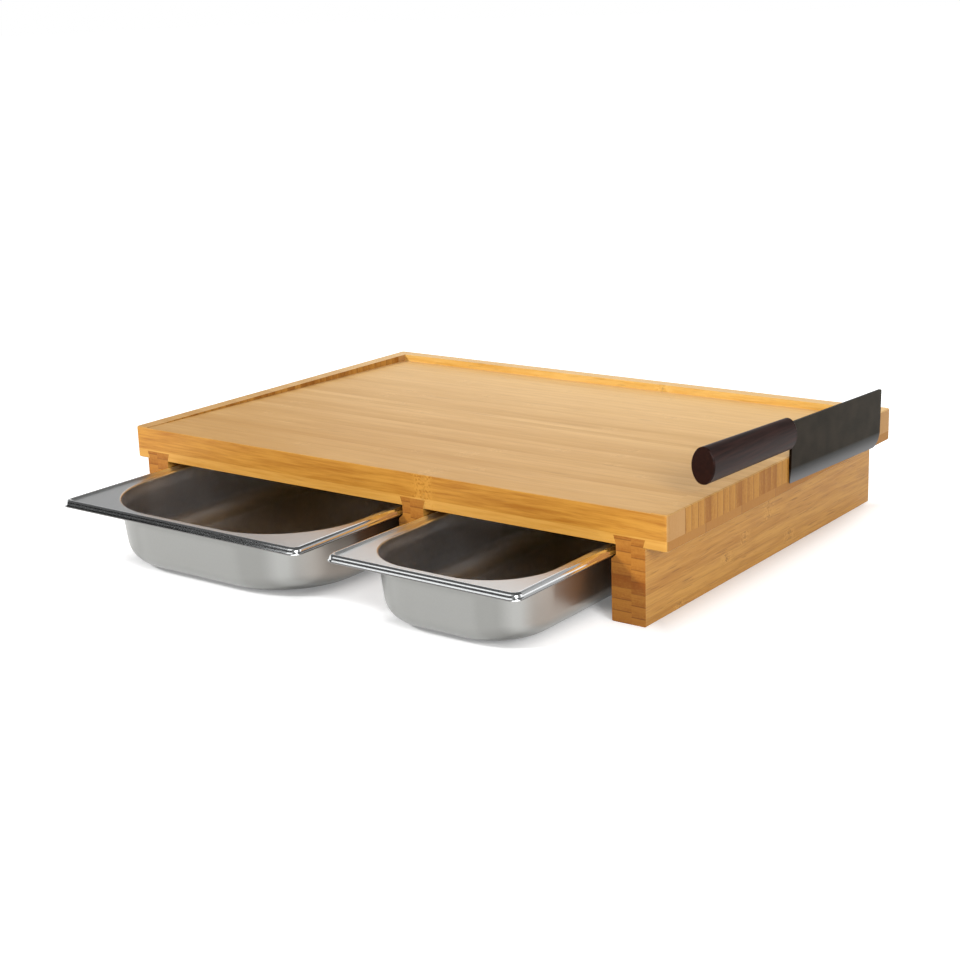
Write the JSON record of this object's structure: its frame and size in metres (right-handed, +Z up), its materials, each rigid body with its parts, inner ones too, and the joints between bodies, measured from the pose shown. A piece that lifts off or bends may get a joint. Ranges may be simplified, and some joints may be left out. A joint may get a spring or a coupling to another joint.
{
  "type": "cutting board with drawer trays",
  "caption": "Bamboo cutting board on three rails, with steel food trays that slide out at the front and a vegetable knife held against its right end.",
  "frame": {"origin": "middle of the middle rail's foot, halfway front to back, on the surface that the board stands on", "axes": "+Z up, +X to the right along the plate's width, -Y towards the front, where the trays slide out"},
  "size_m": [0.561, 0.505, 0.1275],
  "materials": {
    "core_bamboo": "oiled bamboo, narrow upright strips glued side by side",
    "edge_bamboo": "oiled bamboo, broad strips",
    "base_bamboo": "plain pale bamboo layer",
    "rail_bamboo": "oiled bamboo boards with visible end grain",
    "tray_steel": "pressed stainless steel, bright rim, satin inside",
    "blade_steel": "dark satin steel with a polished bevel",
    "handle_wood": "near-black hardwood, lightly polished",
    "magnet": "nickel-plated bar magnets, out of sight"
  },
  "bodies": {
    "board": {"base_panel": "base_bamboo", "core_panel": "core_bamboo", "front_edge_strip": "edge_bamboo", "back_edge_strip": "edge_bamboo", "left_rail_outer": "rail_bamboo", "left_rail_inner": "rail_bamboo", "middle_rail_left": "rail_bamboo", "middle_rail_right": "rail_bamboo", "right_rail_inner": "rail_bamboo", "right_rail_outer": "rail_bamboo", "knife_magnets": "magnet"},
    "wide_tray": {"wide_tray": "tray_steel"},
    "narrow_tray": {"narrow_tray": "tray_steel"},
    "knife": {"knife_blade": "blade_steel", "knife_handle": "handle_wood"}
  },
  "joints": [
    {"name": "wide_tray_slide", "type": "slide", "parent": "board", "child": "wide_tray", "axis": [0, -1, 0], "range_m": [-0.125, 0.2]},
    {"name": "narrow_tray_slide", "type": "slide", "parent": "board", "child": "narrow_tray", "axis": [0, -1, 0], "range_m": [-0.122, 0.203]},
    {"name": "knife_pull", "type": "slide", "parent": "board", "child": "knife", "axis": [1, 0, 0], "range_m": [0, 0.08]}
  ]
}
